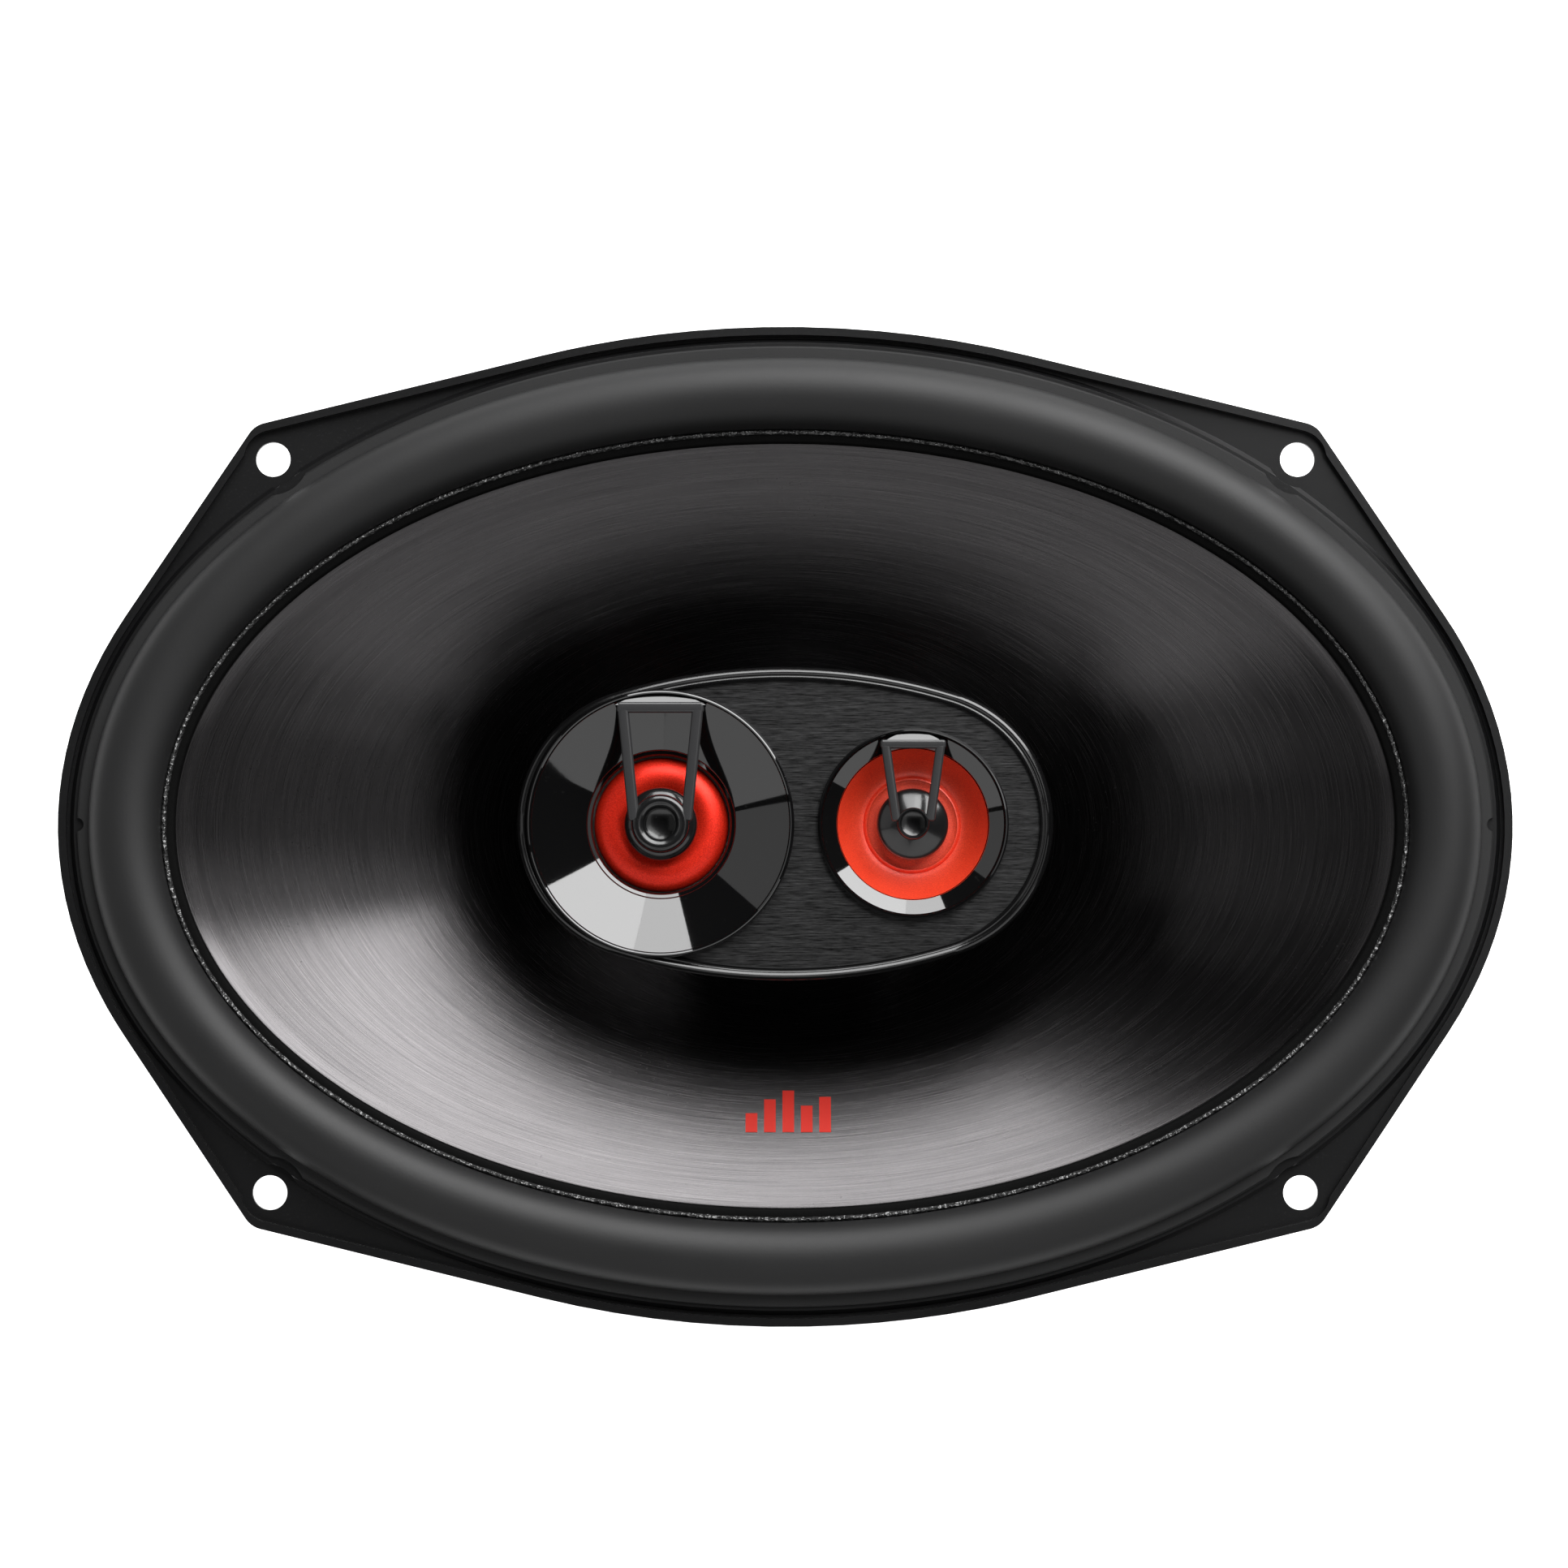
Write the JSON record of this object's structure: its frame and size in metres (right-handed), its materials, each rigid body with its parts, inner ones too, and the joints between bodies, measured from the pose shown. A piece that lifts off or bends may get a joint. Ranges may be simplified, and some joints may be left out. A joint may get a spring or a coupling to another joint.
{
  "type": "coaxial car speaker",
  "caption": "Oval coaxial car speaker: pressed steel basket, moving cone with rolled surround, and a pod over it that carries a midrange dome and a tweeter dome.",
  "frame": {"origin": "centre of the mounting plane, on the cone's axis: the rear face of the basket's flange", "axes": "+Z out of the cone towards the listener, +X along the long side of the oval, towards the tweeter, +Y along the short side, away from the terminals"},
  "size_m": [0.235, 0.1616, 0.0901],
  "materials": {
    "black_steel": "semi-gloss black stoving enamel on pressed steel",
    "rivet_steel": "plated steel",
    "black_rubber": "smooth satin butyl rubber",
    "spider_cloth": "resin-stiffened woven cloth",
    "black_plate": "black e-coated steel",
    "ferrite": "ground sintered ferrite",
    "zinc_plate": "zinc-plated turned steel",
    "boot_rubber": "moulded satin rubber",
    "stem_alloy": "black anodised",
    "screw_steel": "plated steel",
    "pod_gloss": "gloss black moulding",
    "brushed_face": "dark anodised, brushed along the long side",
    "dish_gloss": "piano black moulding",
    "plug_gloss": "gloss black moulding",
    "nickel_magnet": "nickel-plated sintered magnet",
    "board_plastic": "moulded fibre-filled plastic",
    "tinned_brass": "plated push-on blade",
    "capacitor_sleeve": "shrink-sleeved can",
    "foam_pad": "soft adhesive pad",
    "braided_copper": "braided tinsel",
    "red_insulation": "soft insulation",
    "white_insulation": "soft insulation",
    "black_insulation": "soft insulation",
    "cone_plastic": "fine brushed mica-filled plastic",
    "former_alloy": "thin rolled alloy",
    "copper_winding": "enamelled copper wire",
    "solder_brass": "tinned brass",
    "red_dome": "satin red anodised foil",
    "bright_red_dome": "satin red anodised foil"
  },
  "bodies": {
    "frame": {"basket": "black_steel", "motor_rivets": "rivet_steel", "surround": "black_rubber", "spider": "spider_cloth", "top_plate": "black_plate", "ferrite_magnet": "ferrite", "yoke": "zinc_plate", "magnet_boot": "boot_rubber", "pod_stem": "stem_alloy", "stem_washer": "zinc_plate", "stem_nut": "zinc_plate", "pod_screws": "screw_steel", "pod_housing": "pod_gloss", "pod_face_plate": "brushed_face", "midrange_bezel": "dish_gloss", "midrange_phase_plug": "plug_gloss", "midrange_cup": "zinc_plate", "midrange_magnet": "nickel_magnet", "midrange_pole_plate": "zinc_plate", "tweeter_bezel": "dish_gloss", "tweeter_phase_plug": "plug_gloss", "tweeter_cup": "zinc_plate", "tweeter_magnet": "nickel_magnet", "tweeter_pole_plate": "zinc_plate", "terminal_board": "board_plastic", "positive_blade": "tinned_brass", "negative_blade": "tinned_brass", "terminal_rivets": "tinned_brass", "midrange_capacitor": "capacitor_sleeve", "tweeter_capacitor": "capacitor_sleeve", "capacitor_pads": "foam_pad", "positive_lead": "braided_copper", "negative_lead": "braided_copper", "midrange_wire": "red_insulation", "tweeter_wire": "white_insulation", "common_wire": "black_insulation", "midrange_jumper": "red_insulation", "tweeter_jumper": "white_insulation"},
    "cone": {"woofer_cone": "cone_plastic", "coil_former": "former_alloy", "coil_winding": "copper_winding", "lead_eyelets": "solder_brass"},
    "midrange_diaphragm": {"midrange_dome": "red_dome", "midrange_winding": "copper_winding"},
    "tweeter_diaphragm": {"tweeter_dome": "bright_red_dome", "tweeter_winding": "copper_winding"}
  },
  "joints": [
    {"name": "cone_travel", "type": "slide", "parent": "frame", "child": "cone", "axis": [0, 0, 1], "range_m": [-0.005, 0.005], "stiffness_N_per_m": 2900, "deforming": ["surround", "spider", "positive_lead", "negative_lead"]},
    {"name": "midrange_travel", "type": "slide", "parent": "frame", "child": "midrange_diaphragm", "axis": [0, 0, 1], "range_m": [-0.0003, 0.0003], "stiffness_N_per_m": 5000},
    {"name": "tweeter_travel", "type": "slide", "parent": "frame", "child": "tweeter_diaphragm", "axis": [0, 0, 1], "range_m": [-0.0002, 0.0002], "stiffness_N_per_m": 8000}
  ]
}
